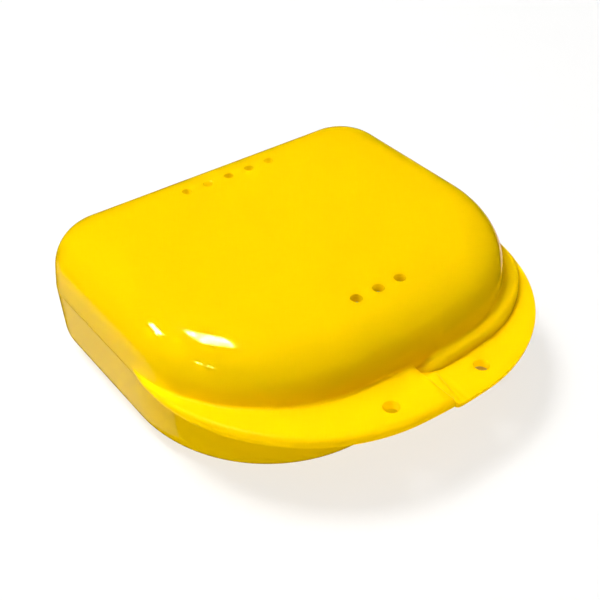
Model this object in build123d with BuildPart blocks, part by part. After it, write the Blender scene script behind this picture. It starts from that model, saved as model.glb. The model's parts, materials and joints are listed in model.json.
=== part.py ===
from build123d import *

import os
from math import atan2, cos, hypot, radians, sin, sqrt, tan

os.makedirs("parts", exist_ok=True)

# A hinged, vented mouthguard case, closed, with a boil-and-bite mouthguard lying in it.
# Millimetres. +Z is up, +X is to the right and -Y is the front, where the finger tabs are.
# The origin is on the surface that the case stands on, in the middle of the whole object.

# ---------------------------------------------------------------- driving dimensions
case_width = 80.0  # across the straight sides, at the seam
case_depth = 68.4  # rear wall to front wall, at the seam
rear_corner_r = 11.7
front_corner_r = 30.2
front_arc_r = 150.0
wall = 1.6
seam_gap = 0.08  # hairline between the two rims

lid_height = 11.9  # above the seam
lid_draft = 5.4
lid_roundover = 8.85
lid_skin = 1.7

base_depth = 15.6  # below the seam
base_draft = 2.9
base_roundover = 6.5
base_skin = 1.7

tab_front = 79.2  # rear wall to the tip of the finger tabs
tab_corner_r = 35.0
tab_corner_x = 5.45
tab_corner_y = 44.0
tab_arc_r = 109.0
tab_thick = 1.85
tab_side_thick = 0.9  # where the tab runs out along the side wall
tab_flat_from, tab_thin_at = 64.0, 38.0
tab_end_x = 0.1  # the two tabs meet this far each side of the middle
tab_edge_r = 1.1
lip_offset = 2.75  # how far the narrow lip stands out from the wall
lip_back = 0.75  # the lip stays this far inside the tab's outline at the sides
lip_thick = 1.8
ridge_height, ridge_width = 0.7, 1.6

lanyard_x, lanyard_y, lanyard_r = 10.65, 74.1, 1.5
vent_pitch = 5.0
rear_vent_y, rear_vent_r, rear_vent_n = 10.25, 0.95, 5
front_vent_y, front_vent_r, front_vent_n = 57.5, 1.1, 3

tongue_inset = 1.95  # outer face of the tongue that locates the lid
tongue_thick = 0.9
tongue_height = 1.4
tongue_root = 2.4
bead_length, bead_proud = 16.0, 0.15

hinge_out = 2.9  # axis behind the rear wall, on the seam plane
knuckle_r = 2.4
pin_r = 1.0
pin_clearance = 0.06
hinge_x = 18.0
lid_knuckle_w = 8.4
ear_w = 3.0
hinge_side_gap = 0.3

guard_half_w, guard_front, guard_rear = 30.0, 60.5, 13.5
guard_corner_r, guard_arc_r = 24.0, 45.0
inner_half_w, inner_front = 15.0, 47.5
inner_corner_r, inner_arc_r = 10.0, 26.0
guard_gap = 0.1  # under the mouthguard
frame_outer_t, frame_plate_t, frame_inner_t = 1.8, 2.2, 1.6
liner_outer_t, liner_plate_t, liner_inner_t = 1.6, 1.8, 1.4
flange_front_h, flange_rear_h = 19.0, 13.0
inner_flange_h = 10.0
liner_below = 0.6  # the liner stops this far below the frame's edge
guard_end_r = 6.0

# ---------------------------------------------------------------- where things are
rear_extent = hinge_out + knuckle_r
y_wall = (tab_front - rear_extent) / 2
z_seam = base_depth
# Both halves are drawn with the seam at height 0 and the rear wall at y 0, rising away from the seam.
# The base is the same drawing turned half a turn about Y, so its tab is on the other side.
lid_plane = Plane(origin=(0, y_wall, z_seam + seam_gap))
base_plane = Plane(origin=(0, y_wall, z_seam), x_dir=(-1, 0, 0), z_dir=(0, 0, -1))
guard_plane = Plane(origin=(0, y_wall, base_skin + guard_gap))
hinge_y = y_wall + hinge_out


def arc_mid(cx, cy, r, angle):
    return (cx + r * cos(angle), cy + r * sin(angle))


def d_outline(inset=0.0):
    """The case's D-shaped outline, inset all round."""
    hw, d = case_width / 2 - inset, case_depth - inset
    rb, rf, rg = rear_corner_r - inset, front_corner_r - inset, front_arc_r - inset
    xf = hw - rf
    cy = -d + rg
    yf = cy - sqrt((rg - rf) ** 2 - xf**2)
    ux, uy = xf / (rg - rf), (yf - cy) / (rg - rf)
    tx, ty = rg * ux, cy + rg * uy
    k = sqrt(0.5)
    mx, my = arc_mid(xf, yf, rf, atan2(uy, ux) / 2)
    with BuildSketch() as sketch:
        with BuildLine():
            Line((hw - rb, -inset), (-hw + rb, -inset))
            ThreePointArc((-hw + rb, -inset), (-hw + rb - rb * k, -inset - rb + rb * k), (-hw, -inset - rb))
            Line((-hw, -inset - rb), (-hw, yf))
            ThreePointArc((-hw, yf), (-mx, my), (-tx, ty))
            ThreePointArc((-tx, ty), (0, -d), (tx, ty))
            ThreePointArc((tx, ty), (mx, my), (hw, yf))
            Line((hw, yf), (hw, -inset - rb))
            ThreePointArc((hw, -inset - rb), (hw - rb + rb * k, -inset - rb + rb * k), (hw - rb, -inset))
        make_face()
    return sketch.sketch


def tab_outline(inset=0.0):
    """The outline that both finger tabs follow: two large corner arcs and a nearly flat front."""
    r, rg = tab_corner_r - inset, tab_arc_r - inset
    cx, cy = tab_corner_x, -tab_corner_y
    gy = -tab_front + tab_arc_r
    length = hypot(cx, cy - gy)
    ux, uy = cx / length, (cy - gy) / length
    tx, ty = rg * ux, gy + rg * uy
    half = atan2(uy, ux) / 2
    k = 0.6  # sine of the angle at which the corner arc is left behind, well inside the side wall
    c = sqrt(1 - k * k)
    mx, my = arc_mid(cx, cy, r, half)
    with BuildSketch() as sketch:
        with BuildLine():
            Line((-cx - r * c, cy + r * k), (cx + r * c, cy + r * k))
            ThreePointArc((cx + r * c, cy + r * k), (cx + r, cy), (mx, my))
            ThreePointArc((mx, my), arc_mid(cx, cy, r, (half + atan2(uy, ux)) / 2), (tx, ty))
            ThreePointArc((tx, ty), (0, gy - rg), (-tx, ty))
            ThreePointArc((-tx, ty), (-arc_mid(cx, cy, r, (half + atan2(uy, ux)) / 2)[0], arc_mid(cx, cy, r, (half + atan2(uy, ux)) / 2)[1]), (-mx, my))
            ThreePointArc((-mx, my), (-cx - r, cy), (-cx - r * c, cy + r * k))
        make_face()
    return sketch.sketch


def outer_solid(plane, height, draft, roundover, inset=0.0):
    """The D-shaped block with drafted walls and a rounded edge, rising from the seam."""
    with BuildPart() as block:
        with BuildSketch(plane):
            add(d_outline(inset))
        extrude(amount=height, taper=draft)
        far = block.faces().sort_by(Axis(plane.origin, plane.z_dir))[-1]
        fillet(far.edges(), roundover)
    return block.part


def finger_tab(plane):
    """The wide finger tab on local -X: it thins towards the side, its free edge is rounded, and its end rolls down."""
    with BuildPart() as tab:
        with BuildSketch(plane):
            add(tab_outline())
            with Locations((-50 - tab_end_x, -60)):
                Rectangle(100, 100, mode=Mode.INTERSECT)
        extrude(amount=tab_thick)
        # the free edge away from the seam, and the end that rolls down beside the other tab
        far = tab.faces().sort_by(Axis(plane.origin, plane.z_dir))[-1]
        fillet(far.edges().filter_by(lambda e: (e @ 0.5).Y < y_wall - 10.5), tab_edge_r)
        # the slope that thins it towards the side wall
        side = Plane(origin=plane.origin, x_dir=(0, 1, 0), z_dir=plane.x_dir if plane.z_dir.Z > 0 else -plane.x_dir)
        up = 1 if plane.z_dir.Z > 0 else -1
        with BuildSketch(side):
            with BuildLine():
                Polyline(
                    (-tab_flat_from, up * tab_thick),
                    (-tab_thin_at, up * tab_side_thick),
                    (0, up * tab_side_thick),
                    (0, up * (tab_thick + 1)),
                    (-tab_flat_from, up * (tab_thick + 1)),
                    close=True,
                )
            make_face()
        extrude(amount=60, both=True, mode=Mode.SUBTRACT)
    return tab.part


def narrow_lip(plane):
    """The narrow lip on local +X, which faces the other half's tab, with its ramped end."""
    with BuildPart() as lip:
        with BuildSketch(plane):
            add(d_outline(-lip_offset))
            add(tab_outline(lip_back), mode=Mode.INTERSECT)
            with Locations((50 + 0.35, -60)):
                Rectangle(100, 100, mode=Mode.INTERSECT)
        extrude(amount=lip_thick)
        ramp = Plane(
            origin=plane.from_local_coords((0.35, -69.1, 0)),
            z_dir=plane.x_dir * -4.07 + plane.y_dir * -5.46 + plane.z_dir * 6.89,
        )
        split(bisect_by=ramp, keep=Keep.BOTTOM)
    return lip.part


def vents(plane):
    """The two rows of vent holes, as a sketch."""
    with BuildSketch(plane) as holes:
        with Locations((0, -rear_vent_y)):
            with GridLocations(vent_pitch, 1, rear_vent_n, 1):
                Circle(rear_vent_r)
        with Locations((0, -front_vent_y)):
            with GridLocations(vent_pitch, 1, front_vent_n, 1):
                Circle(front_vent_r)
    return holes.sketch


# ---------------------------------------------------------------- lid_shell
lid_block = outer_solid(lid_plane, lid_height, lid_draft, lid_roundover)
lid_hollow = outer_solid(lid_plane, lid_height - lid_skin, lid_draft, lid_roundover - lid_skin, wall)
lid_tab = finger_tab(lid_plane)
lid_lip = narrow_lip(lid_plane)

with BuildPart() as lid_shell:
    add(lid_block)
    add(lid_tab)
    add(lid_lip)
    # two hinge knuckles with their webs, which start above the seam
    for side in (-1, 1):
        with BuildSketch(Plane.YZ.offset(side * hinge_x)):
            with Locations((hinge_y, z_seam)):
                Circle(knuckle_r)
            with BuildLine():
                Polyline(
                    (y_wall - 1.0, z_seam + 0.6),
                    (hinge_y, z_seam + 0.6),
                    (hinge_y, z_seam + knuckle_r),
                    (hinge_y - 0.6, z_seam + knuckle_r + 0.2),
                    (y_wall - 1.0, z_seam + knuckle_r + 1.6),
                    close=True,
                )
            make_face()
            with Locations((hinge_y, z_seam)):
                Circle(pin_r + pin_clearance, mode=Mode.SUBTRACT)
        extrude(amount=lid_knuckle_w / 2, both=True)
    add(lid_hollow, mode=Mode.SUBTRACT)
    with BuildSketch(lid_plane):
        add(vents(Plane.XY))
    extrude(amount=40, mode=Mode.SUBTRACT)
    with BuildSketch(lid_plane):
        with Locations((-lanyard_x, -lanyard_y)):
            Circle(lanyard_r)
    extrude(amount=tab_thick + 1, mode=Mode.SUBTRACT)
lid_shell.part.label = "lid_shell"
export_step(lid_shell.part, "parts/lid_shell.step")

# ---------------------------------------------------------------- base_shell
base_block = outer_solid(base_plane, base_depth, base_draft, base_roundover)
base_hollow = outer_solid(base_plane, base_depth - base_skin, base_draft, base_roundover - base_skin, wall)
base_tab = finger_tab(base_plane)
base_lip = narrow_lip(base_plane)

with BuildPart() as base_shell:
    add(base_block)
    add(base_tab)
    add(base_lip)
    # four hinge ears with their webs, which stop at the seam
    for side in (-1, 1):
        for end in (-1, 1):
            middle = side * hinge_x + end * (lid_knuckle_w / 2 + hinge_side_gap + ear_w / 2)
            with BuildSketch(Plane.YZ.offset(middle)):
                with Locations((hinge_y, z_seam)):
                    Circle(knuckle_r)
                with BuildLine():
                    Polyline(
                        (y_wall - 1.0, z_seam - 0.1),
                        (hinge_y, z_seam - 0.1),
                        (hinge_y, z_seam - knuckle_r),
                        (hinge_y - 0.6, z_seam - knuckle_r - 0.2),
                        (y_wall - 1.0, z_seam - knuckle_r - 2.4),
                        close=True,
                    )
                make_face()
                with Locations((hinge_y, z_seam)):
                    Circle(pin_r, mode=Mode.SUBTRACT)
            extrude(amount=ear_w / 2, both=True)
    add(base_hollow, mode=Mode.SUBTRACT)
    # the tongue that stands up inside the lid's rim
    with BuildSketch(Plane(origin=(0, y_wall, z_seam - tongue_root))):
        add(d_outline(wall - 0.4))
        add(d_outline(tongue_inset + tongue_thick), mode=Mode.SUBTRACT)
    extrude(amount=tongue_root - 0.6)
    with BuildSketch(Plane(origin=(0, y_wall, z_seam - 1.2))):
        add(d_outline(tongue_inset))
        add(d_outline(tongue_inset + tongue_thick), mode=Mode.SUBTRACT)
    extrude(amount=1.2 + tongue_height)
    # snap bead along the front of the tongue
    with BuildSketch(Plane(origin=(0, y_wall, z_seam + 0.55))):
        add(d_outline(tongue_inset - bead_proud))
        add(d_outline(tongue_inset + 0.2), mode=Mode.SUBTRACT)
        with Locations((0, -case_depth)):
            Rectangle(bead_length, 20, mode=Mode.INTERSECT)
    extrude(amount=0.45)
    # the ridge across the end of the finger tab
    with BuildSketch(Plane(origin=(0, y_wall, z_seam - 0.3))):
        with BuildLine():
            Polyline((0.95, -72.3), (2.55, -72.3), (1.4, -78.0), (0.3, -78.0), close=True)
        make_face()
    extrude(amount=0.3 + ridge_height, taper=12)
    with BuildSketch(base_plane):
        add(vents(Plane.XY))
    extrude(amount=40, mode=Mode.SUBTRACT)
    with BuildSketch(base_plane):
        with Locations((-lanyard_x, -lanyard_y)):
            Circle(lanyard_r)
    extrude(amount=tab_thick + 1, mode=Mode.SUBTRACT)
base_shell.part.label = "base_shell"
export_step(base_shell.part, "parts/base_shell.step")

# ---------------------------------------------------------------- hinge pins
pin_length = lid_knuckle_w + 2 * (hinge_side_gap + ear_w)

with BuildPart() as hinge_pin_left:
    with BuildSketch(Plane.YZ.offset(-hinge_x - pin_length / 2)):
        with Locations((hinge_y, z_seam)):
            Circle(pin_r)
    extrude(amount=pin_length)
    chamfer(hinge_pin_left.edges().filter_by(GeomType.CIRCLE), 0.2)
hinge_pin_left.part.label = "hinge_pin_left"
export_step(hinge_pin_left.part, "parts/hinge_pin_left.step")

with BuildPart() as hinge_pin_right:
    with BuildSketch(Plane.YZ.offset(hinge_x - pin_length / 2)):
        with Locations((hinge_y, z_seam)):
            Circle(pin_r)
    extrude(amount=pin_length)
    chamfer(hinge_pin_right.edges().filter_by(GeomType.CIRCLE), 0.2)
hinge_pin_right.part.label = "hinge_pin_right"
export_step(hinge_pin_right.part, "parts/hinge_pin_right.step")


# ---------------------------------------------------------------- mouthguard
def arch(half_w, front, corner_r, arc_r, rear):
    """An arch: straight legs, two corner arcs and a front arc, open towards the rear."""
    xf = half_w - corner_r
    cy = -front + arc_r
    yf = cy - sqrt((arc_r - corner_r) ** 2 - xf**2)
    ux, uy = xf / (arc_r - corner_r), (yf - cy) / (arc_r - corner_r)
    tx, ty = arc_r * ux, cy + arc_r * uy
    mx, my = arc_mid(xf, yf, corner_r, atan2(uy, ux) / 2)
    with BuildSketch() as sketch:
        with BuildLine():
            Line((-half_w, -rear), (half_w, -rear))
            Line((half_w, -rear), (half_w, yf))
            ThreePointArc((half_w, yf), (mx, my), (tx, ty))
            ThreePointArc((tx, ty), (0, -front), (-tx, ty))
            ThreePointArc((-tx, ty), (-mx, my), (-half_w, yf))
            Line((-half_w, yf), (-half_w, -rear))
        make_face()
    return sketch.sketch


def outer_arch(inset, rear=guard_rear):
    return arch(guard_half_w - inset, guard_front - inset, guard_corner_r - inset, guard_arc_r - inset, rear)


def inner_arch(grow, rear=0.0):
    return arch(inner_half_w + grow, inner_front + grow, inner_corner_r + grow, inner_arc_r + grow, rear)


def band(outer_inset, inner_grow):
    """The U between the two arches, with rounded leg ends."""
    with BuildSketch() as sketch:
        add(outer_arch(0.0))
        add(inner_arch(0.0), mode=Mode.SUBTRACT)
        fillet(sketch.vertices().filter_by(lambda v: v.Y > -guard_rear - 0.01), guard_end_r)
        if outer_inset or inner_grow:
            add(outer_arch(outer_inset, 0.0), mode=Mode.INTERSECT)
            add(inner_arch(inner_grow), mode=Mode.SUBTRACT)
    return sketch.sketch


def sloping_edge(drop):
    """Side-view corners of what is above the sloping edge of the outer wall."""
    return [
        (-70, flange_front_h - drop),
        (-50, flange_front_h - drop),
        (-guard_rear, flange_rear_h - drop),
        (0, flange_rear_h - drop),
        (0, 30),
        (-70, 30),
    ]


guard_side = Plane(origin=guard_plane.origin, x_dir=(0, 1, 0), z_dir=(1, 0, 0))

with BuildPart() as mouthguard_frame:
    with BuildSketch(guard_plane):
        add(band(0.0, 0.0))
    extrude(amount=flange_front_h)
    with BuildSketch(guard_plane.offset(frame_plate_t)):
        add(outer_arch(frame_outer_t, 0.0))
        add(inner_arch(frame_inner_t), mode=Mode.SUBTRACT)
    extrude(amount=40, mode=Mode.SUBTRACT)
    with BuildSketch(guard_plane.offset(inner_flange_h)):
        add(inner_arch(frame_inner_t + 0.5))
    extrude(amount=40, mode=Mode.SUBTRACT)
    with BuildSketch(guard_side):
        with BuildLine():
            Polyline(*sloping_edge(0.0), close=True)
        make_face()
    extrude(amount=40, both=True, mode=Mode.SUBTRACT)
mouthguard_frame.part.label = "mouthguard_frame"
export_step(mouthguard_frame.part, "parts/mouthguard_frame.step")

with BuildPart() as mouthguard_liner:
    with BuildSketch(guard_plane.offset(frame_plate_t)):
        add(band(frame_outer_t, frame_inner_t))
    extrude(amount=flange_front_h)
    with BuildSketch(guard_plane.offset(frame_plate_t + liner_plate_t)):
        add(outer_arch(frame_outer_t + liner_outer_t, 0.0))
        add(inner_arch(frame_inner_t + liner_inner_t), mode=Mode.SUBTRACT)
    extrude(amount=40, mode=Mode.SUBTRACT)
    with BuildSketch(guard_plane.offset(inner_flange_h - liner_below)):
        add(inner_arch(frame_inner_t + liner_inner_t + 0.5))
    extrude(amount=40, mode=Mode.SUBTRACT)
    with BuildSketch(guard_side):
        with BuildLine():
            Polyline(*sloping_edge(liner_below), close=True)
        make_face()
    extrude(amount=40, both=True, mode=Mode.SUBTRACT)
mouthguard_liner.part.label = "mouthguard_liner"
export_step(mouthguard_liner.part, "parts/mouthguard_liner.step")
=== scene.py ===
import json
import math

import bpy
import bmesh
from mathutils import Matrix, Vector, geometry


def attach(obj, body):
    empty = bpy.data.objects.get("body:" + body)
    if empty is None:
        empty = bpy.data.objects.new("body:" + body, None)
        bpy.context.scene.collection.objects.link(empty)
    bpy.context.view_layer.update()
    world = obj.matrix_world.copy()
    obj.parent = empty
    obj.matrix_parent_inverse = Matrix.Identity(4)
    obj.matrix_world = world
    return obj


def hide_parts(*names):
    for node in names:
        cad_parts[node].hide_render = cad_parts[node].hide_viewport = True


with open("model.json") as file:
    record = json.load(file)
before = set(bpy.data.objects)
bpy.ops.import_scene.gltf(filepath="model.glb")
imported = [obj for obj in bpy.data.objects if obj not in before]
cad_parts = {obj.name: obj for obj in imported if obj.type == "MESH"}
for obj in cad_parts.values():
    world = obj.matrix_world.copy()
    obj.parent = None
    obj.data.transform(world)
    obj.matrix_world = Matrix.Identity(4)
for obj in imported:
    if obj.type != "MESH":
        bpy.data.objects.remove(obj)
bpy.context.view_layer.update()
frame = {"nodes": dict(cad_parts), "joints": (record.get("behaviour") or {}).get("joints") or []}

MM = 0.001
rad = math.radians

# ------------------------------------------------------------------ where things are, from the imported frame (mm)
hinge = [j for j in frame["joints"] if j["name"] == "lid_hinge"][0]
ZS = hinge["pos_m"][2] / MM  # the seam plane
HY = hinge["pos_m"][1] / MM  # the hinge axis
HINGE_OUT = 2.9
YW = HY - HINGE_OUT  # the rear wall's outer face at the seam
GAP = 0.08

# ------------------------------------------------------------------ the case's outline, seen from above
W, D, RB, RF, RG = 80.0, 68.4, 11.7, 30.2, 150.0
HW = W / 2
XF = HW - RF
CY = -D + RG
YF = CY - math.sqrt((RG - RF) ** 2 - XF**2)
UX, UY = XF / (RG - RF), (YF - CY) / (RG - RF)
TX, TY = RG * UX, CY + RG * UY

TAB_FRONT, TAB_R, TAB_CX, TAB_CY, TAB_RG = 79.2, 35.0, 5.45, -44.0, 109.0
TAB_T, TAB_T_SIDE = 1.85, 0.9
LANYARD = (-10.65, -74.1, 1.5)
VENTS = [(x, -10.25, 0.95) for x in (-10, -5, 0, 5, 10)] + [(x, -57.5, 1.1) for x in (-5, 0, 5)]
TAB_END = -0.1


def spread(a, b, step):
    n = max(1, int(round(abs(b - a) / step)))
    return [a + (b - a) * i / n for i in range(n)]


def columns():
    """Plan points of the outline with their outward normals, from the middle of the rear wall round by the left."""
    out = []
    for x in spread(0, -(HW - RB), 1.2):
        out.append((x, 0.0, 0.0, 1.0))
    for a in spread(90, 180, 3.2):
        c, s = math.cos(rad(a)), math.sin(rad(a))
        out.append((-(HW - RB) + RB * c, -RB + RB * s, c, s))
    for y in spread(-RB, -30, 1.6) + spread(-30, YF, 0.6):
        out.append((-HW, y, -1.0, 0.0))
    end = 180 + math.degrees(math.atan2(-UY, UX))
    for a in spread(180, end, 1.25):
        c, s = math.cos(rad(a)), math.sin(rad(a))
        out.append((-XF + RF * c, YF + RF * s, c, s))
    xs = spread(-TX, -4.2, 0.45) + spread(-4.2, TAB_END, 0.12)
    for x in xs:
        nx = x / RG
        ny = -math.sqrt(1 - nx * nx)
        out.append((x, CY + RG * ny, nx, ny))
    nx = TAB_END / RG
    ny = -math.sqrt(1 - nx * nx)
    out.append((TAB_END, CY + RG * ny, nx, ny))  # last column of the tab
    split = len(out) - 1
    xs = spread(TAB_END, 6.6, 0.12) + spread(6.6, TX, 0.45)
    for x in xs:
        nx = x / RG
        ny = -math.sqrt(1 - nx * nx)
        out.append((x, CY + RG * ny, nx, ny))
    for a in spread(360 - (end - 180), 360, 1.25):
        c, s = math.cos(rad(a)), math.sin(rad(a))
        out.append((XF + RF * c, YF + RF * s, c, s))
    for y in spread(YF, -30, 0.6) + spread(-30, -RB, 1.6):
        out.append((HW, y, 1.0, 0.0))
    for a in spread(0, 90, 3.2):
        c, s = math.cos(rad(a)), math.sin(rad(a))
        out.append((HW - RB + RB * c, -RB + RB * s, c, s))
    for x in spread(HW - RB, 0, 1.2):
        out.append((x, 0.0, 0.0, 1.0))
    return out, split


COLS, SPLIT = columns()


def tab_sd(x, y):
    """Signed distance to the outline that both finger tabs follow; negative inside."""
    x = abs(x)
    gy = -TAB_FRONT + TAB_RG
    if y < TAB_CY and x * (gy - TAB_CY) < TAB_CX * (gy - y):
        return math.hypot(x, y - gy) - TAB_RG
    return math.hypot(x - TAB_CX, y - TAB_CY) - TAB_R


def reach(px, py, nx, ny, back=0.0):
    """How far the tab's outline, brought in by back, lies out from the wall along the normal."""
    if py > -20 or tab_sd(px, py) + back >= 0:
        return 0.0
    lo, hi = 0.0, 14.0
    for _ in range(40):
        m = (lo + hi) / 2
        if tab_sd(px + nx * m, py + ny * m) + back < 0:
            lo = m
        else:
            hi = m
    return lo


def smooth(t):
    t = min(1.0, max(0.0, t))
    return t * t * (3 - 2 * t)


def lerp(a, b, t):
    return a + (b - a) * t


def bump(t):
    """One at 0, falling smoothly to nothing at 1 either side."""
    t = min(1.0, abs(t))
    return (1 - t * t) ** 2


def tab_height(x, y, roll_w, roll_h):
    t = lerp(TAB_T, TAB_T_SIDE, smooth((y + 64.0) / 24.0))
    u = (x - TAB_END + roll_w) / roll_w
    if u > 0:
        t -= roll_h * (1 - math.sqrt(max(0.0, 1 - min(1.0, u) ** 2)))
    return t


def lip_height(x, y):
    ramp = (4.07 * (x - 0.35) + 5.46 * (y + 69.1)) / 6.89
    # the ramp eases into the level top
    soft = 1.7
    t = max(soft - abs(1.8 - ramp), 0.0) / soft
    return min(1.8, ramp) - t * t * soft / 4


def lip_width(px, py, nx, ny):
    if px < 0.35:
        return 0.0
    full = 2.45 + 0.6 * smooth((px - 12) / 12)
    full = min(full, reach(px, py, nx, ny, 0.75))
    # the ramped end: where the slope leaves the seam plane, with its outer corner rounded in plan
    if px < 8:
        lo, hi = 0.0, full + 2.0
        if lip_height(px, py) <= 0:
            return 0.0
        if lip_height(px + nx * hi, py + ny * hi) > 0:
            lo = hi
        else:
            for _ in range(30):
                m = (lo + hi) / 2
                if lip_height(px + nx * m, py + ny * m) > 0:
                    lo = m
                else:
                    hi = m
        soft = 1.6
        t = max(soft - abs(full - lo), 0.0) / soft
        return max(0.0, min(full, lo) - t * t * soft / 4)
    return full


# ------------------------------------------------------------------ the two halves
LID = dict(H=11.9, R=8.85, draft=5.4, skin=1.7, roll=(2.4, 1.4), edge=1.1, z=1, gap=GAP)
BASE = dict(H=15.6, R=6.5, draft=2.9, skin=1.7, roll=(1.6, 1.1), edge=1.5, z=-1, gap=0.0)
N_UNDER, N_SIDE, N_EDGE, N_TOP, N_COVE, N_ARC = 22, 4, 7, 20, 6, 18
WALL = 1.6


def arc_rows(H, R, draft, offset, n):
    """(inset, height) up the wall's end, round the edge and onto the flat."""
    d = rad(draft)
    c = offset + R / math.cos(d) + (H - R) * math.tan(d)
    rows = []
    for i in range(n + 1):
        a = d + (math.pi / 2 - d) * i / n
        rows.append((c - R * math.cos(a), H - R + R * math.sin(a)))
    return rows, c


def seam_shape(half, x, y):
    """Height of the seam-side face of the tab: the base's carries a ridge beside the tab's end."""
    if half is LID:
        return 0.0
    wx = -x
    ridge_x = 1.86 + 0.226 * (y + 71.6)
    fade = smooth((-70.7 - y) / 0.9) * smooth((y + 79.0) / 1.0)
    h = -0.68 * bump((wx - ridge_x) / 1.02) * fade
    h += 0.14 * bump((wx - (2.95 + 0.05 * (y + 75))) / 0.9) * smooth((-72.0 - y) / 1.2)
    return h


def wall_k(half, h):
    return -h * math.tan(rad(half["draft"]))


def outer_rows(half, i):
    """Rows of one column from the rim outwards, up over the tab or lip, and up the wall to the flat."""
    px, py, nx, ny = COLS[i]
    tab = i <= SPLIT
    w = reach(px, py, nx, ny) if tab else lip_width(px, py, nx, ny)
    if tab and w > 0:
        r = 0.7  # small rounding of the outline where the tab ends
        u = px - (TAB_END - r)
        if u > 0:
            w -= r - math.sqrt(max(0.0, r * r - min(u, r) ** 2))

    def top(k):
        x, y = px + nx * k, py + ny * k
        if tab:
            return max(0.3, tab_height(x, y, *half["roll"]))
        if w <= 0.0:
            return 0.45
        return lip_height(x, y)

    e0 = 0.12 if w < 0.3 else 0.06  # edge rounding on the seam side
    edge_t = max(0.02, top(w))
    re = min(half["edge"] if tab else 1.25, 0.9 * w, 0.82 * edge_t if tab else 0.95 * edge_t)
    rows = []
    for j in range(N_UNDER + 1):
        k = lerp(-0.9, w - e0, j / N_UNDER)
        rows.append((k, seam_shape(half, px + nx * k, py + ny * k) if w > 1 else 0.0))
    hb = seam_shape(half, px + nx * w, py + ny * w) if w > 1 else 0.0
    e1 = min(e0, 0.4 * (edge_t - hb))
    for j in range(1, 4):
        a = math.pi / 2 * j / 3
        rows.append((w - e0 + e0 * math.sin(a), hb + e1 - e1 * math.cos(a)))
    lean = 1 - min(1.0, w)
    side_top = max(hb + e1, edge_t - re)
    for j in range(1, N_SIDE + 1):
        h = lerp(hb + e1, side_top, j / N_SIDE)
        rows.append((w + wall_k(half, h) * lean, h))
    k1 = w + wall_k(half, side_top) * lean
    flat_k = w - re
    for j in range(1, N_EDGE + 1):
        a = math.pi / 2 * j / N_EDGE
        k = k1 - re + re * math.cos(a)
        h = side_top + (max(side_top, top(k)) - side_top) * math.sin(a)
        rows.append((k, h))
    rc = min(0.55 if tab else 0.9, 0.5 * max(0.0, w - re))
    foot = top(0.0)
    k_cove = wall_k(half, foot) + rc if w > 0 else wall_k(half, foot)
    k_from = rows[-1][0]
    for j in range(1, N_TOP + 1):
        k = lerp(k_from, k_cove, j / N_TOP)
        t = top(k)
        rows.append((k, max(t, 0.02) if w > 0 else foot))
    h_from = rows[-1][1]
    for j in range(1, N_COVE + 1):
        a = math.pi / 2 * j / N_COVE
        h = h_from + rc * (1 - math.cos(a))
        k = lerp(k_cove - rc * math.sin(a), wall_k(half, h), (j / N_COVE) ** 2)
        rows.append((k, h))
    n_split = len(rows)
    arc, c = arc_rows(half["H"], half["R"], half["draft"], 0.0, N_ARC)
    h0, h1 = rows[-1][1], arc[0][1]
    n_wall = 5
    for j in range(1, n_wall):
        h = lerp(h0, h1, j / n_wall)
        rows.append((wall_k(half, h), h))
    rows += [(-a, h) for a, h in arc]
    return rows, n_split, w


def inner_rows(half, i):
    """Rows of one column from the inner flat, down the inner wall to the rim."""
    px, py, nx, ny = COLS[i]
    H, R = half["H"] - half["skin"], half["R"] - half["skin"]
    arc, c = arc_rows(H, R, half["draft"], WALL, 10)
    rows = [(-a, h) for a, h in reversed(arc)]
    td = math.tan(rad(half["draft"]))
    if half is LID:
        for h in (2.2, 1.2, 0.5, 0.2):
            rows.append((-WALL - h * td, h))
        for j in range(1, 4):
            a = math.pi / 2 * j / 3
            rows.append((-WALL + 0.2 * (1 - math.cos(a)), 0.2 - 0.2 * math.sin(a)))
        rows.append((-1.2, 0.0))
    else:
        b = 0.15 * smooth((8.0 - abs(px)) / 0.8) if py < -60 else 0.0
        rows += [(-WALL - h * td, h) for h in (6.0, 4.0, 2.9)]
        rows += [(-2.0, 2.3), (-2.5, 1.9), (-2.8, 1.6), (-2.85, 1.3), (-2.85, 0.0), (-2.85, -1.15)]
        rows += [(-2.80, -1.3), (-2.68, -1.38), (-2.55, -1.4), (-2.25, -1.4), (-2.1, -1.38), (-1.99, -1.3), (-1.95, -1.15)]
        rows += [(-1.95, -1.05), (-1.95 + b * 0.8, -0.95), (-1.95 + b, -0.8), (-1.95 + b * 0.8, -0.65), (-1.95, -0.55)]
        rows += [(-1.95, -0.1), (-1.9, 0.0), (-1.4, 0.0)]
    return rows


def place(half, x, y, h):
    """From drawing coordinates to metres in the row frame."""
    if half["z"] > 0:
        return (x * MM, (YW + y) * MM, (ZS + half["gap"] + h) * MM)
    return (-x * MM, (YW + y) * MM, (ZS - h) * MM)


def hole_patch(bm, half, loops, h, top):
    """Flat face with holes: fills between the first loop and the others, all at one height."""
    pts = [[Vector((half["z"] * v.co.x, v.co.y, 0)) for v in loop] for loop in loops]
    flat = [v for loop in loops for v in loop]
    for tri in geometry.tessellate_polygon(pts):
        a, b, c = (flat[t] for t in tri)
        n = (b.co - a.co).cross(c.co - a.co)
        want = half["z"] * (1 if top else -1)
        if n.length < 1e-14:
            continue
        if n.z * want < 0:
            a, c = c, a
        try:
            bm.faces.new((a, b, c))
        except ValueError:
            pass


def ring(bm, half, x, y, r, h, n):
    return [bm.verts.new(place(half, x + r * math.cos(2 * math.pi * j / n), y + r * math.sin(2 * math.pi * j / n), h)) for j in range(n)]


def bridge(bm, a, b):
    n = len(a)
    for j in range(n):
        bm.faces.new((a[j], a[(j + 1) % n], b[(j + 1) % n], b[j]))


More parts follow.
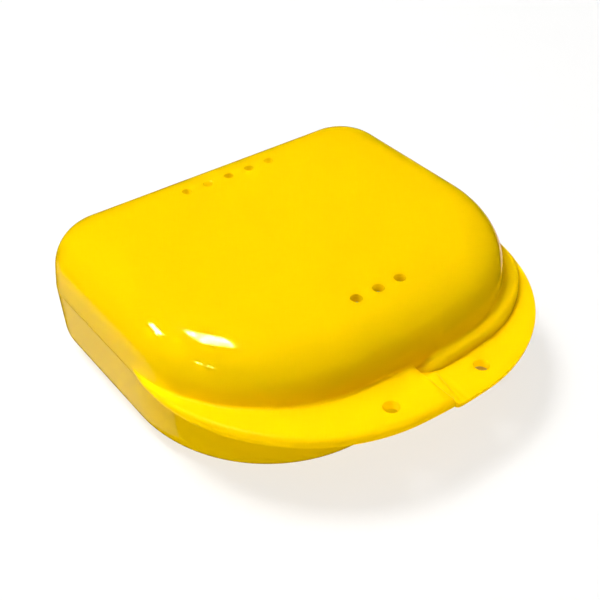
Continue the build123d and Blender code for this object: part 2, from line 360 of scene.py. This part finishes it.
def bore(bm, half, x, y, r, h_in, h_out, n, ease, lead=0.12):
    """The rings of a through hole from the inner face to the outer one, with eased edges; returns the first and last ring."""
    rings = []
    if lead:
        rings.append(ring(bm, half, x, y, r + ease + lead, h_in, n))
    for j in range(5):
        a = math.pi / 2 * j / 4
        rings.append(ring(bm, half, x, y, r + ease - ease * math.sin(a), h_in + ease - ease * math.cos(a), n))
    for j in range(5):
        a = math.pi / 2 * (1 - j / 4)
        rings.append(ring(bm, half, x, y, r + ease - ease * math.sin(a), h_out - ease + ease * math.cos(a), n))
    if lead:
        rings.append(ring(bm, half, x, y, r + ease + lead, h_out, n))
    for a, b in zip(rings, rings[1:]):
        bridge(bm, a, b)
    return rings[0], rings[-1]


def shell(name, half):
    bm = bmesh.new()
    n = len(COLS)
    grid, cuts = [], []
    for i, (px, py, nx, ny) in enumerate(COLS):
        inner = inner_rows(half, i)
        outer, n_split, w = outer_rows(half, i)
        rows = inner + outer
        cuts.append((len(inner), len(inner) + n_split))
        grid.append([bm.verts.new(place(half, px + nx * k, py + ny * k, h)) for k, h in rows])
    m = len(grid[0])
    first, last = cuts[0]
    # the block of cells round the lanyard hole, on the seam side and on the far side
    lx, ly, lr = LANYARD
    under = range(first, first + N_UNDER)
    over_from = first + N_UNDER + 1 + 3 + N_SIDE + N_EDGE - 1
    over = range(over_from, over_from + N_TOP)
    skip, loops = set(), {}
    s = half["z"]
    for key, rows in (("under", under), ("over", over)):
        cells = []
        for i in range(SPLIT):
            for j in rows:
                co = [grid[a][b].co / MM for a, b in ((i, j), (i + 1, j), (i, j + 1), (i + 1, j + 1))]
                x = sum(s * c.x for c in co) / 4
                y = sum(c.y - YW for c in co) / 4
                if math.hypot(x - lx, y - ly) < lr + 1.05:
                    cells.append((i, j))
        i0, i1 = min(c[0] for c in cells), max(c[0] for c in cells) + 1
        j0, j1 = min(c[1] for c in cells), max(c[1] for c in cells) + 1
        skip |= {(i, j) for i in range(i0, i1) for j in range(j0, j1)}
        loop = [grid[i][j0] for i in range(i0, i1)] + [grid[i1][j] for j in range(j0, j1)]
        loop += [grid[i][j1] for i in range(i1, i0, -1)] + [grid[i0][j] for j in range(j1, j0, -1)]
        loops[key] = loop
    for i in range(n):
        i2 = (i + 1) % n
        for j in range(m - 1):
            if (i, j) in skip:
                continue
            if i == SPLIT and first <= j < last:
                continue
            bm.faces.new((grid[i][j], grid[i][j + 1], grid[i2][j + 1], grid[i2][j]))
    # the tab's end face
    a, b = grid[SPLIT][first : last + 1], grid[SPLIT + 1][first : last + 1]
    end_loop = a + b[::-1]
    bm.verts.index_update()
    # the lanyard hole
    h_top = TAB_T
    r_in, r_out = bore(bm, half, lx, ly, lr, 0.0, h_top, 48, 0.08)
    hole_patch(bm, half, [loops["under"], r_in], 0.0, False)
    hole_patch(bm, half, [loops["over"], r_out], h_top, True)
    # flats with their vents
    inner_flat = [g[0] for g in grid]
    outer_flat = [g[-1] for g in grid]
    ins, outs = [], []
    for x, y, r in VENTS:
        a_, b_ = bore(bm, half, x, y, r, half["H"] - half["skin"], half["H"], 32, 0.1, 0.0)
        ins.append(a_)
        outs.append(b_)
    hole_patch(bm, half, [inner_flat] + ins, 0, False)
    hole_patch(bm, half, [outer_flat] + outs, 0, True)
    # the end face, as one flat face of the points that differ
    keep = []
    for v in end_loop:
        if not keep or (v.co - keep[-1].co).length > 4e-6:
            keep.append(v)
    while len(keep) > 3 and (keep[0].co - keep[-1].co).length <= 4e-6:
        keep.pop()
    pts = [Vector((v.co.y, v.co.z, 0)) for v in keep]
    for tri in geometry.tessellate_polygon([pts]):
        f = bm.faces.new([keep[t] for t in tri])
    bmesh.ops.remove_doubles(bm, verts=bm.verts, dist=4e-6)
    bmesh.ops.dissolve_degenerate(bm, edges=bm.edges, dist=1e-6)
    bmesh.ops.recalc_face_normals(bm, faces=bm.faces)
    me = bpy.data.meshes.new(name)
    bm.to_mesh(me)
    bad = [e for e in bm.edges if len(e.link_faces) != 2]
    print(name, "faces", len(bm.faces), "verts", len(bm.verts), "open or shared edges", len(bad), "volume mm3", round(bm.calc_volume() / MM**3))
    for e in bad[:6]:
        print("   ", [tuple(round(c / MM, 3) for c in v.co) for v in e.verts], len(e.link_faces))
    bm.free()
    ob = bpy.data.objects.new(name, me)
    bpy.context.scene.collection.objects.link(ob)
    return ob


def finish_mesh(ob, angle=32):
    me = ob.data
    me.polygons.foreach_set("use_smooth", [True] * len(me.polygons))
    me.set_sharp_from_angle(angle=rad(angle))
    me.update()
    # the large flat faces keep their own normal where they run into a small rounding
    mod = ob.modifiers.new("flats", "WEIGHTED_NORMAL")
    mod.mode = "FACE_AREA"
    mod.weight = 50
    mod.keep_sharp = True


def union(ob, others):
    """Joins separate closed meshes to a shell as one solid."""
    for other in others:
        mod = ob.modifiers.new("join", "BOOLEAN")
        mod.operation = "UNION"
        mod.solver = "EXACT"
        mod.object = other
    dg = bpy.context.evaluated_depsgraph_get()
    me = bpy.data.meshes.new_from_object(ob.evaluated_get(dg))
    ob.modifiers.clear()
    old = ob.data
    ob.data = me
    me.name = ob.name
    bpy.data.meshes.remove(old)
    for other in others:
        bpy.data.objects.remove(other)


def rounded_extrusion(name, outline, x0, x1, r, holes=()):
    """A side-view outline (y, z in mm) pushed along X, with rounded end edges. Outline points carry outward normals."""
    bm = bmesh.new()
    rings = []
    stations = []
    for j in range(5):
        a = math.pi / 2 * j / 4
        stations.append((x0 + r - r * math.sin(a), r - r * math.cos(a)))
    stations = [(x0, r)] + [(x0 + r - r * math.cos(rad(90 * j / 4)), r - r * math.sin(rad(90 * j / 4))) for j in range(1, 5)]
    stations += [(x1 - (x - x0), ins) for x, ins in reversed(stations)]
    for x, ins in stations:
        rings.append([bm.verts.new((x * MM, (y - ny * ins) * MM, (z - nz * ins) * MM)) for y, z, ny, nz in outline])
    for a, b in zip(rings, rings[1:]):
        bridge(bm, a, b)
    bm.faces.new(list(reversed(rings[0])))
    bm.faces.new(rings[-1])
    bmesh.ops.recalc_face_normals(bm, faces=bm.faces)
    me = bpy.data.meshes.new(name)
    bm.to_mesh(me)
    bm.free()
    ob = bpy.data.objects.new(name, me)
    bpy.context.scene.collection.objects.link(ob)
    return ob


def with_normals(points):
    """Closed polyline with outward normals, counter-clockwise in (y, z)."""
    out = []
    n = len(points)
    for i in range(n):
        a, b = points[i - 1], points[(i + 1) % n]
        dy, dz = b[0] - a[0], b[1] - a[1]
        ln = math.hypot(dy, dz) or 1.0
        out.append((points[i][0], points[i][1], dz / ln, -dy / ln))
    return out


def knuckle_outline(half):
    """Barrel with its web to the wall, as a closed line in (y, z), counter-clockwise."""
    s = half["z"]
    r = 2.4
    pts = []
    # round the barrel from its top (tangent to the web's upper line) over the back to the web's seam side
    seam = 0.6 if half is LID else 0.1
    start, stop = 100, -180 + math.degrees(math.asin(seam / r)) * -1
    steps = 30
    for j in range(steps + 1):
        a = rad(lerp(start, -180 - math.degrees(math.asin(seam / r)), j / steps))
        pts.append((HY + r * math.cos(a), s * r * math.sin(a)))
    inner_y = YW - 0.9
    pts.append((YW - 0.3, s * seam))
    pts.append((inner_y, s * seam))
    top = 4.6 if half is BASE else 4.0
    pts.append((inner_y, s * top))
    # the web's outer line runs out of the wall in a soft curve
    for j in range(7):
        t = j / 6
        y = lerp(YW - (0.25 if half is BASE else 0.35), HY - 0.9, t)
        z = lerp(top, r * math.sin(rad(112)), 1 - (1 - t) ** 2)
        pts.append((y, s * z))
    pts = [(y, ZS + z) for y, z in pts]
    area = sum(pts[i - 1][0] * pts[i][1] - pts[i][0] * pts[i - 1][1] for i in range(len(pts)))
    if area < 0:
        pts.reverse()
    return with_normals(pts)


def knuckles(half):
    out = []
    for side in (-1, 1):
        if half is LID:
            spans = [(side * 18 - 4.2, side * 18 + 4.2)]
        else:
            spans = [(side * 18 - 7.5, side * 18 - 4.5), (side * 18 + 4.5, side * 18 + 7.5)]
        for x0, x1 in spans:
            out.append(rounded_extrusion("knuckle", knuckle_outline(half), x0, x1, 0.3))
    return out


# ------------------------------------------------------------------ build both shells
lid = shell("lid_shell_skin", LID)
base = shell("base_shell_skin", BASE)
union(lid, knuckles(LID))
union(base, knuckles(BASE))
for ob in (lid, base):
    finish_mesh(ob)

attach(lid, "lid")
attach(base, "base")
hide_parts("lid_shell")
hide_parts("base_shell")


# ------------------------------------------------------------------ the mouthguard
GZ = 1.8  # its underside
G_OUT = dict(hw=30.0, front=60.5, r=24.0, arc=45.0)
G_IN = dict(hw=15.0, front=47.5, r=10.0, arc=26.0)
G_REAR, G_END = -13.5, 6.0
FRAME_T = (1.8, 2.2, 1.6)  # outer wall, bite plate, inner wall
LINER_T = (1.6, 1.8, 1.4)


def arch_parts(hw, front, r, arc):
    """The three places where an arch's legs, corners and front meet, on its right-hand side."""
    xf = hw - r
    cy = -front + arc
    yf = cy - math.sqrt((arc - r) ** 2 - xf**2)
    return xf, cy, yf, math.atan2(-(yf - cy) / (arc - r), xf / (arc - r))


def arch_point(spec, part, t):
    """Point of an arch: part 0 is a leg from its rear end forwards, 1 a corner, 2 half the front."""
    xf, cy, yf, end = arch_parts(**spec)
    if part == 0:
        return spec["hw"], lerp(G_REAR, yf, t)
    if part == 1:
        a_ = end * t
        return xf + spec["r"] * math.cos(a_), yf - spec["r"] * math.sin(a_)
    a_ = lerp(end, math.pi / 2, t)
    return spec["arc"] * math.cos(a_), cy - spec["arc"] * math.sin(a_)


def guard_stations():
    """Stations from the left leg's end round the front to the right leg's: outer point, inner point, distance along the middle."""
    half = [(0, t / 44) for t in range(44)] + [(1, t / 34) for t in range(34)] + [(2, t / 16) for t in range(17)]
    side = [(arch_point(G_OUT, p, t), arch_point(G_IN, p, t)) for p, t in half]
    both = [((-o[0], o[1]), (-i[0], i[1])) for o, i in side] + list(reversed(side[:-1]))
    out, run = [], 0.0
    for j, (o, i) in enumerate(both):
        mid = ((o[0] + i[0]) / 2, (o[1] + i[1]) / 2)
        if j:
            run += math.hypot(mid[0] - last[0], mid[1] - last[1])
        last = mid
        out.append((o, i, run))
    return out


STATIONS = guard_stations()


def outer_top(x, y):
    """Height of the outer wall's edge: high at the front, with a small dip in the middle for the lip's frenulum, and running out at the back."""
    h = 19.0 - 6.0 * smooth((y + 52.0) / 37.0)
    if y < -50:
        h -= 2.2 * bump(x / 6.5)
    return lerp(3.4, h, smooth((G_REAR - 0.6 - y) / 8.5))


def inner_top(x, y):
    return lerp(3.0, 10.0, smooth((G_REAR - 0.6 - y) / 7.5)) - 1.0 * bump(x / 9.0) * smooth((-y - 40.0) / 5.0)


def arc_points(cu, cz, r, a0, a1, n):
    return [(cu + r * math.cos(rad(lerp(a0, a1, k / n))), cz + r * math.sin(rad(lerp(a0, a1, k / n)))) for k in range(n + 1)]


def frame_section(width, zo, zi, groove):
    """Closed cross-section of the frame, across the arch: u from its outer face, z from its underside."""
    to, tp, ti = FRAME_T
    ro, ri, rb, rc = to / 2, ti / 2, 1.3, 0.8
    pts = arc_points(rb, rb, rb, 270, 180, 6)
    for k in range(1, 22):
        z = lerp(rb, zo - ro, k / 22)
        pts.append((0.26 * groove(z), z))
    pts += arc_points(ro, zo - ro, ro, 180, 0, 10)
    for k in range(1, 8):
        pts.append((to, lerp(zo - ro, tp + rc, k / 8)))
    pts += arc_points(to + rc, tp + rc, rc, 180, 270, 4)
    for k in range(1, 6):
        pts.append((lerp(to + rc, width - ti - rc, k / 6), tp))
    pts += arc_points(width - ti - rc, tp + rc, rc, 270, 360, 4)
    for k in range(1, 6):
        pts.append((width - ti, lerp(tp + rc, zi - ri, k / 6)))
    pts += arc_points(width - ri, zi - ri, ri, 180, 0, 8)
    for k in range(1, 8):
        pts.append((width, lerp(zi - ri, 1.2, k / 8)))
    pts += arc_points(width - 1.2, 1.2, 1.2, 0, -90, 6)
    for k in range(1, 8):
        pts.append((lerp(width - 1.2, rb, k / 8), 0.0))
    return pts


def liner_section(width, zo, zi, rib):
    """Closed cross-section of the liner, which lies in the frame's channel."""
    gap = 0.03
    fo, fp, fi = FRAME_T
    to, tp, ti = LINER_T
    u0, u1, z0 = fo + gap, width - fi - gap, fp + gap
    zo, zi = zo - 0.6, zi - 0.6
    ro, ri, rb, rc = to / 2, ti / 2, 0.95, 1.5
    pts = arc_points(u0 + rb, z0 + rb, rb, 270, 180, 5)
    for k in range(1, 8):
        pts.append((u0, lerp(z0 + rb, zo - ro, k / 8)))
    pts += arc_points(u0 + ro, zo - ro, ro, 180, 0, 10)
    for k in range(1, 9):
        pts.append((u0 + to, lerp(zo - ro, z0 + tp + rc, k / 9)))
    pts += arc_points(u0 + to + rc, z0 + tp + rc, rc, 180, 270, 5)
    a_, b_ = u0 + to + rc, u1 - ti - rc
    for k in range(1, 12):
        t = k / 12
        pts.append((lerp(a_, b_, t), z0 + tp + rib * (1 - (2 * t - 1) ** 4)))
    pts += arc_points(b_, z0 + tp + rc, rc, 270, 360, 5)
    for k in range(1, 6):
        pts.append((u1 - ti, lerp(z0 + tp + rc, zi - ri, k / 6)))
    pts += arc_points(u1 - ri, zi - ri, ri, 180, 0, 8)
    for k in range(1, 8):
        pts.append((u1, lerp(zi - ri, z0 + rb, k / 8)))
    pts += arc_points(u1 - rb, z0 + rb, rb, 0, -90, 5)
    for k in range(1, 8):
        pts.append((lerp(u1 - rb, u0 + rb, k / 8), z0))
    return pts


def guard_piece(name, section, end_y, end_r):
    """One part of the mouthguard: its cross-section carried round the arch, with rounded ends."""
    bm = bmesh.new()
    rings = []
    total = STATIONS[-1][2]

    def ring_at(o, i, run, squeeze, y_shift):
        x, y = o
        width = math.hypot(i[0] - o[0], i[1] - o[1])
        du, dv = (i[0] - o[0]) / width, (i[1] - o[1]) / width
        zo, zi = outer_top(x, y), inner_top(i[0], y)
        # three shallow grooves along the cheeks, fading out at the front and the back
        fade = smooth((-y - 24.0) / 6.0) * smooth((abs(x) - 12.0) / 8.0)

        def groove(z):
            return fade * sum(bump((z - c) / 0.75) for c in (6.0, 8.6, 11.2))

        along = min(run, total - run)
        rib = 0.32 * smooth((along - 5.0) / 3.0) * (0.5 - 0.5 * math.cos(2 * math.pi * run / 2.6)) * smooth((abs(x) - 7.0) / 4.0)
        pts = section(width, zo, zi, groove if section is frame_section else rib)
        # the leg's rounded end: both sides come in
        near = end_y - end_r
        side = 0.0
        if y > near:
            side = end_r - math.sqrt(max(0.0, end_r**2 - min(end_r, y - near) ** 2))
        lo_u, hi_u = min(p[0] for p in pts), max(p[0] for p in pts)
        mid_u, mid_z = (lo_u + hi_u) / 2, 1.1 if section is frame_section else 3.1
        k_u = max(0.12, (hi_u - lo_u - 2 * side) / (hi_u - lo_u))
        verts = []
        for u, z in pts:
            u = mid_u + (u - mid_u) * k_u * (1 - 0.10 * squeeze)
            z = mid_z + (z - mid_z) * (1 - squeeze)
            verts.append(bm.verts.new(((o[0] + du * u) * MM, (YW + o[1] + dv * u + y_shift) * MM, (GZ + z) * MM)))
        return verts

    chosen = [st for st in STATIONS if st[0][1] <= end_y - 0.7]
    first, last = chosen[0], chosen[-1]
    ends = [(t, 1 - math.sqrt(1 - t * t)) for t in (1.0, 0.92, 0.75, 0.5, 0.25)]
    y_first = first[0][1]
    room = end_y - y_first
    for t, sq in ends:
        rings.append(ring_at((first[0][0], y_first), (first[1][0], y_first), first[2], sq * 0.85, room * t))
    for o, i, run in chosen:
        rings.append(ring_at(o, i, run, 0.0, 0.0))
    for t, sq in reversed(ends):
        rings.append(ring_at((last[0][0], y_first), (last[1][0], y_first), last[2], sq * 0.85, room * t))
    for a_, b_ in zip(rings, rings[1:]):
        bridge(bm, a_, b_)
    for cap in (rings[0], rings[-1]):
        face = bm.faces.new(cap)
        bmesh.ops.triangulate(bm, faces=[face], ngon_method="EAR_CLIP")
    bmesh.ops.remove_doubles(bm, verts=bm.verts, dist=2e-6)
    bmesh.ops.dissolve_degenerate(bm, edges=bm.edges, dist=1e-6)
    bmesh.ops.recalc_face_normals(bm, faces=bm.faces)
    bad = [e for e in bm.edges if len(e.link_faces) != 2]
    print(name, "skin faces", len(bm.faces), "open or shared edges", len(bad), "volume mm3", round(bm.calc_volume() / MM**3))
    me = bpy.data.meshes.new(name)
    bm.to_mesh(me)
    bm.free()
    ob = bpy.data.objects.new(name, me)
    bpy.context.scene.collection.objects.link(ob)
    me.polygons.foreach_set("use_smooth", [True] * len(me.polygons))
    me.set_sharp_from_angle(angle=rad(50))
    return ob


guard_frame = guard_piece("mouthguard_frame_skin", frame_section, -13.5, 6.0)
guard_liner = guard_piece("mouthguard_liner_skin", liner_section, -15.4, 5.0)
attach(guard_frame, "mouthguard")
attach(guard_liner, "mouthguard")
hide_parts("mouthguard_frame")
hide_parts("mouthguard_liner")


# ------------------------------------------------------------------ materials
def new_material(name):
    mat = bpy.data.materials.new(name)
    mat.use_nodes = True
    nt = mat.node_tree
    nt.nodes.clear()
    out = nt.nodes.new("ShaderNodeOutputMaterial")
    bsdf = nt.nodes.new("ShaderNodeBsdfPrincipled")
    nt.links.new(bsdf.outputs["BSDF"], out.inputs["Surface"])
    return mat, nt, bsdf


def noise(nt, scale, detail=3.0, rough=0.5, coord=None):
    tex = nt.nodes.new("ShaderNodeTexNoise")
    tex.inputs["Scale"].default_value = scale
    tex.inputs["Detail"].default_value = detail
    tex.inputs["Roughness"].default_value = rough
    if coord is not None:
        nt.links.new(coord, tex.inputs["Vector"])
    return tex


def ramp(nt, fac, stops):
    cr = nt.nodes.new("ShaderNodeValToRGB")
    nt.links.new(fac, cr.inputs["Fac"])
    el = cr.color_ramp.elements
    while len(el) < len(stops):
        el.new(0.5)
    for e, (pos, col) in zip(el, stops):
        e.position = pos
        e.color = (*col, 1.0) if len(col) == 3 else col
    return cr


def case_plastic():
    mat, nt, bsdf = new_material("case_plastic")
    geo = nt.nodes.new("ShaderNodeTexCoord")
    co = geo.outputs["Object"]
    big = noise(nt, 28.0, 2.0, 0.5, co)
    col = ramp(nt, big.outputs["Fac"], [(0.3, (0.955, 0.605, 0.0006)), (0.7, (0.975, 0.625, 0.001))])
    nt.links.new(col.outputs["Color"], bsdf.inputs["Base Color"])
    fine = noise(nt, 900.0, 2.0, 0.6, co)
    rough = ramp(nt, fine.outputs["Fac"], [(0.3, (0.032, 0.032, 0.032)), (0.75, (0.052, 0.052, 0.052))])
    # polished walls, a satin band at the height of the tabs
    satin = ramp(nt, fine.outputs["Fac"], [(0.3, (0.30, 0.30, 0.30)), (0.75, (0.38, 0.38, 0.38))])
    xyz = nt.nodes.new("ShaderNodeSeparateXYZ")
    nt.links.new(co, xyz.inputs["Vector"])
    band = nt.nodes.new("ShaderNodeMapRange")
    band.interpolation_type = "SMOOTHSTEP"
    for socket, value in (("From Min", 0.0029), ("From Max", 0.0038), ("To Min", 1.0), ("To Max", 0.0)):
        band.inputs[socket].default_value = value
    away = nt.nodes.new("ShaderNodeMath")
    away.operation = "SUBTRACT"
    away.inputs[1].default_value = ZS * MM
    nt.links.new(xyz.outputs["Z"], away.inputs[0])
    level = nt.nodes.new("ShaderNodeMath")
    level.operation = "ABSOLUTE"
    nt.links.new(away.outputs[0], level.inputs[0])
    nt.links.new(level.outputs[0], band.inputs["Value"])
    # only where the surface lies flat, so the walls keep their polish
    nxyz = nt.nodes.new("ShaderNodeSeparateXYZ")
    nt.links.new(geo.outputs["Normal"], nxyz.inputs["Vector"])
    nz = nt.nodes.new("ShaderNodeMath")
    nz.operation = "ABSOLUTE"
    nt.links.new(nxyz.outputs["Z"], nz.inputs[0])
    flat = nt.nodes.new("ShaderNodeMapRange")
    flat.interpolation_type = "SMOOTHSTEP"
    for socket, value in (("From Min", 0.2), ("From Max", 0.55), ("To Min", 0.0), ("To Max", 1.0)):
        flat.inputs[socket].default_value = value
    nt.links.new(nz.outputs[0], flat.inputs["Value"])
    tab = nt.nodes.new("ShaderNodeMath")
    tab.operation = "MULTIPLY"
    nt.links.new(band.outputs["Result"], tab.inputs[0])
    nt.links.new(flat.outputs["Result"], tab.inputs[1])
    mix = nt.nodes.new("ShaderNodeMix")
    mix.data_type = "RGBA"
    nt.links.new(tab.outputs[0], mix.inputs["Factor"])
    nt.links.new(rough.outputs["Color"], mix.inputs["A"])
    nt.links.new(satin.outputs["Color"], mix.inputs["B"])
    nt.links.new(mix.outputs["Result"], bsdf.inputs["Roughness"])
    sheen = nt.nodes.new("ShaderNodeMapRange")
    for socket, value in (("From Min", 0.0), ("From Max", 1.0), ("To Min", 0.28), ("To Max", 0.004)):
        sheen.inputs[socket].default_value = value
    nt.links.new(tab.outputs[0], sheen.inputs["Value"])
    nt.links.new(sheen.outputs["Result"], bsdf.inputs["Specular IOR Level"])
    bsdf.inputs["IOR"].default_value = 1.5
    bsdf.inputs["Specular Tint"].default_value = (1.0, 0.85, 0.15, 1.0)
    bsdf.subsurface_method = "BURLEY"
    bsdf.inputs["Subsurface Weight"].default_value = 1.0
    bsdf.inputs["Subsurface Radius"].default_value = (1.0, 0.82, 0.1)
    bsdf.inputs["Subsurface Scale"].default_value = 0.0036
    wav = noise(nt, 60.0, 1.0, 0.4, co)
    bump_n = nt.nodes.new("ShaderNodeBump")
    bump_n.inputs["Strength"].default_value = 0.05
    bump_n.inputs["Distance"].default_value = 0.0004
    nt.links.new(wav.outputs["Fac"], bump_n.inputs["Height"])
    nt.links.new(bump_n.outputs["Normal"], bsdf.inputs["Normal"])
    return mat


plastic = case_plastic()
for ob in (lid, base):
    ob.data.materials.clear()
    ob.data.materials.append(plastic)
for node in ("hinge_pin_left", "hinge_pin_right"):
    o = frame["nodes"][node]
    o.data.materials.clear()
    o.data.materials.append(plastic)


def elastomer(name, low, high, rough, sss, scale):
    """Moulded rubbery material: faint cloudiness, a satin finish and a very fine surface grain."""
    mat, nt, bsdf = new_material(name)
    co = nt.nodes.new("ShaderNodeTexCoord").outputs["Object"]
    cloud = noise(nt, 160.0, 4.0, 0.55, co)
    c = ramp(nt, cloud.outputs["Fac"], [(0.3, low), (0.7, high)])
    nt.links.new(c.outputs["Color"], bsdf.inputs["Base Color"])
    grain = noise(nt, 2600.0, 3.0, 0.6, co)
    r = ramp(nt, grain.outputs["Fac"], [(0.3, (rough[0],) * 3), (0.7, (rough[1],) * 3)])
    nt.links.new(r.outputs["Color"], bsdf.inputs["Roughness"])
    b_ = nt.nodes.new("ShaderNodeBump")
    b_.inputs["Strength"].default_value = 0.25
    b_.inputs["Distance"].default_value = 0.00008
    nt.links.new(grain.outputs["Fac"], b_.inputs["Height"])
    nt.links.new(b_.outputs["Normal"], bsdf.inputs["Normal"])
    bsdf.inputs["IOR"].default_value = 1.48
    bsdf.inputs["Subsurface Weight"].default_value = sss
    bsdf.inputs["Subsurface Radius"].default_value = scale[:3]
    bsdf.inputs["Subsurface Scale"].default_value = scale[3]
    return mat


for ob, mat in (
    (guard_frame, elastomer("guard_frame", (0.60, 0.61, 0.60), (0.67, 0.68, 0.665), (0.34, 0.46), 0.4, (1.0, 0.9, 0.8, 0.002))),
    (guard_liner, elastomer("guard_liner", (0.80, 0.60, 0.20), (0.84, 0.67, 0.28), (0.22, 0.32), 0.7, (1.0, 0.8, 0.35, 0.003))),
):
    ob.data.materials.clear()
    ob.data.materials.append(mat)

# ------------------------------------------------------------------ floor, light, camera
KEY, FILL, WORLD, FLOOR_GLOW = 28.2, 0.95, 0.12, 0.70
scene = bpy.context.scene
world = bpy.data.worlds.new("world")
scene.world = world
world.use_nodes = True
bg = world.node_tree.nodes["Background"]
bg.inputs["Color"].default_value = (1.0, 0.93, 0.8, 1.0)
bg.inputs["Strength"].default_value = WORLD
world.cycles_visibility.glossy = False

bm = bmesh.new()
s = 3.0
vs = [bm.verts.new((x, y, -0.0001)) for x, y in ((-s, -s), (s, -s), (s, s), (-s, s))]
bm.faces.new(vs)
me = bpy.data.meshes.new("floor")
bm.to_mesh(me)
bm.free()
floor = bpy.data.objects.new("floor", me)
scene.collection.objects.link(floor)
fmat, fnt, fb = new_material("floor")
fb.inputs["Base Color"].default_value = (0.3, 0.3, 0.3, 1)
fb.inputs["Roughness"].default_value = 1.0
fb.inputs["Specular IOR Level"].default_value = 0.0
# painted shadow: under the right-hand tab the floor's glow turns to a dim yellow-brown patch, painted in for the tab's
# shade and the light that comes through the yellow plastic
fco = fnt.nodes.new("ShaderNodeTexCoord")
far = fnt.nodes.new("ShaderNodeVectorMath")
far.operation = "DISTANCE"
far.inputs[1].default_value = (0.0235, -0.026, -0.0001)
fnt.links.new(fco.outputs["Object"], far.inputs[0])
painted_shadow_mask = fnt.nodes.new("ShaderNodeMapRange")
painted_shadow_mask.interpolation_type = "SMOOTHSTEP"
for socket, value in (("From Min", 0.0025), ("From Max", 0.006), ("To Min", 1.0), ("To Max", 0.0)):
    painted_shadow_mask.inputs[socket].default_value = value
fnt.links.new(far.outputs["Value"], painted_shadow_mask.inputs["Value"])
# the painted shadow's yellow-brown is mixed into the floor's emission colour here
glow_and_painted_shadow = fnt.nodes.new("ShaderNodeMix")
glow_and_painted_shadow.data_type = "RGBA"
fnt.links.new(painted_shadow_mask.outputs["Result"], glow_and_painted_shadow.inputs["Factor"])
glow_and_painted_shadow.inputs["A"].default_value = (1, 1, 1, 1)
glow_and_painted_shadow.inputs["B"].default_value = (0.52, 0.24, 0.0, 1)
fnt.links.new(glow_and_painted_shadow.outputs["Result"], fb.inputs["Emission Color"])
fb.inputs["Emission Strength"].default_value = FLOOR_GLOW
floor.data.materials.append(fmat)
floor.visible_glossy = False
floor.visible_shadow = False


def area(name, loc, target, size, power, color=(1, 1, 1), size_y=None, spread_deg=180):
    li = bpy.data.lights.new(name, "AREA")
    li.energy = power
    li.color = color
    li.shape = "RECTANGLE" if size_y else "SQUARE"
    li.size = size
    if size_y:
        li.size_y = size_y
    li.spread = rad(spread_deg)
    ob = bpy.data.objects.new(name, li)
    scene.collection.objects.link(ob)
    ob.location = loc
    d = Vector(target) - Vector(loc)
    ob.rotation_euler = d.to_track_quat("-Z", "Y").to_euler()
    return ob


def panel(name, az, el, dist, width, height, radiance, turn=0.0):
    """A soft box seen from the case at that bearing, facing it; width and height in metres."""
    a_, e_ = rad(az), rad(el)
    d = Vector((math.sin(a_) * math.cos(e_), -math.cos(a_) * math.cos(e_), math.sin(e_)))
    target = Vector((0, 0, 0.02))
    power = radiance * math.pi * width * height
    ob = area(name, target + d * dist, target, width, power, size_y=height)
    ob.rotation_euler.rotate_axis("Z", rad(turn))
    return ob


def rays(ob, diffuse, glossy):
    ob.visible_camera = False
    ob.visible_diffuse = diffuse
    ob.visible_glossy = glossy


# the main soft box, level overhead and up to the left, square to the camera
KEY_H, KEY_W, KEY_L = 0.8, 0.29, 0.30
key_at = (-0.303 * KEY_H, 0.28 * KEY_H, KEY_H)
for name, radiance, share, diffuse in (("key", KEY, 1.0, True), ("key_glint", 900.0, 0.9, False)):
    ob = area(name, key_at, (key_at[0], key_at[1], 0), KEY_W * share, radiance * math.pi * KEY_W * KEY_L * share**2, size_y=KEY_L * share)
    ob.rotation_euler = (0, 0, rad(-36.9))
    rays(ob, diffuse, not diffuse)
# a large warm fill from the right of the camera, and the small boxes that only show as glints
rays(panel("fill", 62, 22, 1.6, 1.1, 1.0, FILL), True, False)
bpy.data.lights["fill"].color = (1.0, 0.94, 0.82)
rays(panel("side_box", -130, 33.5, 0.9, 0.185, 0.10, 125.0), False, True)
# the pale card beside the case, seen only mirrored in its left wall
rays(panel("left_card", -142, -36, 0.9, 0.65, 0.6, 0.6), False, True)
bpy.data.lights["left_card"].color = (1.0, 0.9, 0.82)
rays(panel("left_fill", -104, 5, 1.2, 0.6, 0.4, 1.9), True, False)
rays(panel("low_glint", -80, 25.7, 0.9, 0.17, 0.03, 90.0), False, True)
rays(panel("right_card", 118, -34, 0.9, 0.5, 0.4, 1.0), False, True)
bpy.data.lights["right_card"].color = (1.0, 0.72, 0.62)
rays(panel("over_fill", -37, 70, 0.95, 0.55, 0.55, 1.0), True, False)

# camera
az, el, roll, f, dist, tx, ty = -36.86, 38.08, -0.11, 1053.6, 229.0, -20.72, 21.06
a, e, r = rad(az), rad(el), rad(roll)
back = Vector((math.sin(a) * math.cos(e), -math.cos(a) * math.cos(e), math.sin(e)))
right = Vector((math.cos(a), math.sin(a), 0))
up = back.cross(right)
r0, r1 = right * math.cos(r) + up * math.sin(r), up * math.cos(r) - right * math.sin(r)
centre = -(r0 * tx + r1 * ty + (-back) * dist)
cam_data = bpy.data.cameras.new("camera")
cam_data.sensor_width = 36.0
cam_data.sensor_fit = "HORIZONTAL"
cam_data.lens = f / 600 * 36
cam_data.clip_start = 0.005
cam_data.clip_end = 20
cam = bpy.data.objects.new("camera", cam_data)
scene.collection.objects.link(cam)
loc = Vector(((centre.x) * MM, (centre.y + YW) * MM, (centre.z + ZS) * MM))
rot = Matrix((r0, r1, back)).transposed()
cam.matrix_world = Matrix.Translation(loc) @ rot.to_4x4()
scene.camera = cam
scene.view_settings.view_transform = "Standard"
